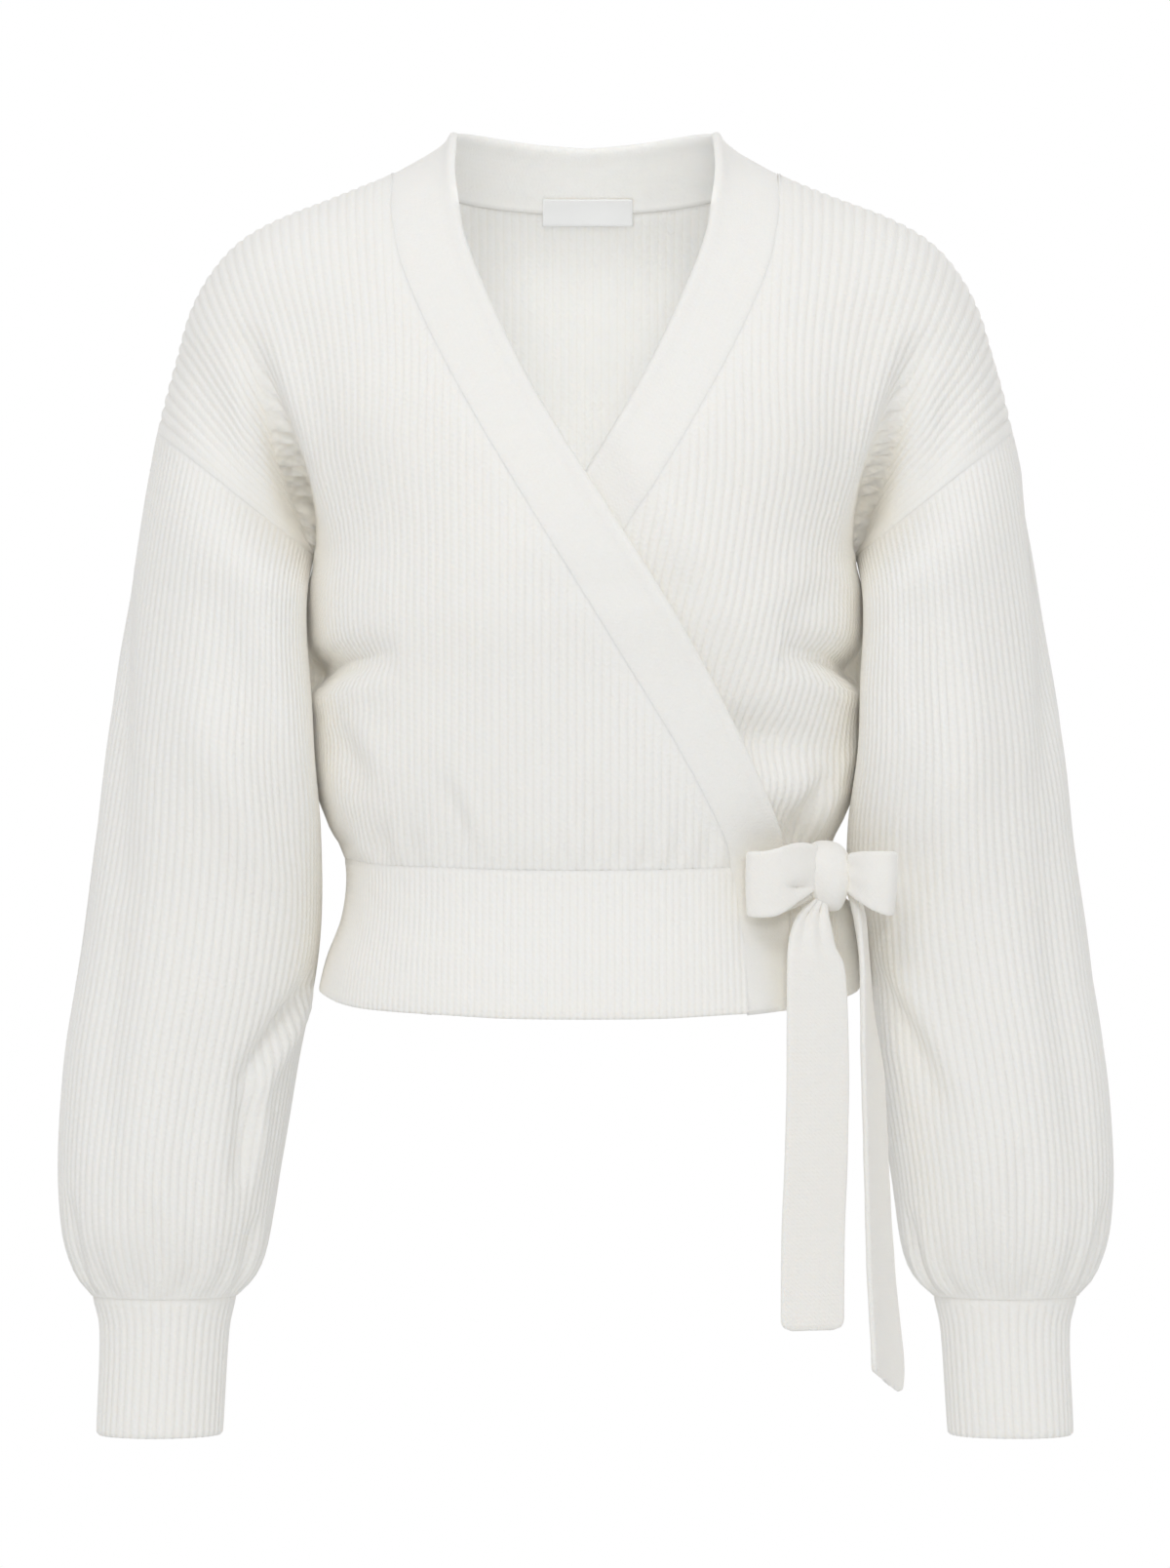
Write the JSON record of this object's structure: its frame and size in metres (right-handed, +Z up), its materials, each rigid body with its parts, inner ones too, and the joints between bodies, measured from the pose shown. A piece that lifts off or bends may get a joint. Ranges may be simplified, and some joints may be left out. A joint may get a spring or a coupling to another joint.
{
  "type": "wrap cardigan",
  "caption": "Cropped wrap cardigan in rib knit with a deep V neck, full long sleeves in deep cuffs, a ribbed waistband and a side tie in a bow.",
  "frame": {"origin": "midway between the shoulders at the height of the base of the neck, where the wearer's shoulders hold it up", "axes": "+Z up, +X towards the wearer's left, -Y towards the front"},
  "size_m": [0.5846, 0.2244, 0.7211],
  "materials": {
    "rib_knit": "brushed off-white rib knit, soft and slightly fuzzy",
    "waist_rib": "finer off-white rib knit of the waistband and cuffs",
    "band_knit": "smooth plain off-white knit of the front and neck band",
    "tie_knit": "smooth plain off-white knit of the tie",
    "label_weave": "blank woven label, pale grey"
  },
  "bodies": {
    "root": {"back": "rib_knit", "right_front": "rib_knit", "left_front": "rib_knit", "back_waistband": "waist_rib", "right_front_waistband": "waist_rib", "left_front_waistband": "waist_rib", "right_front_and_neck_band": "band_knit", "left_front_band": "band_knit", "right_sleeve": "rib_knit", "right_cuff": "waist_rib", "left_sleeve": "rib_knit", "left_cuff": "waist_rib", "neck_label": "label_weave", "tie_knot": "tie_knit", "front_tie": "tie_knit", "side_tie": "tie_knit", "front_loop": "tie_knit", "side_loop": "tie_knit", "front_tail": "tie_knit", "side_tail": "tie_knit"}
  },
  "joints": []
}
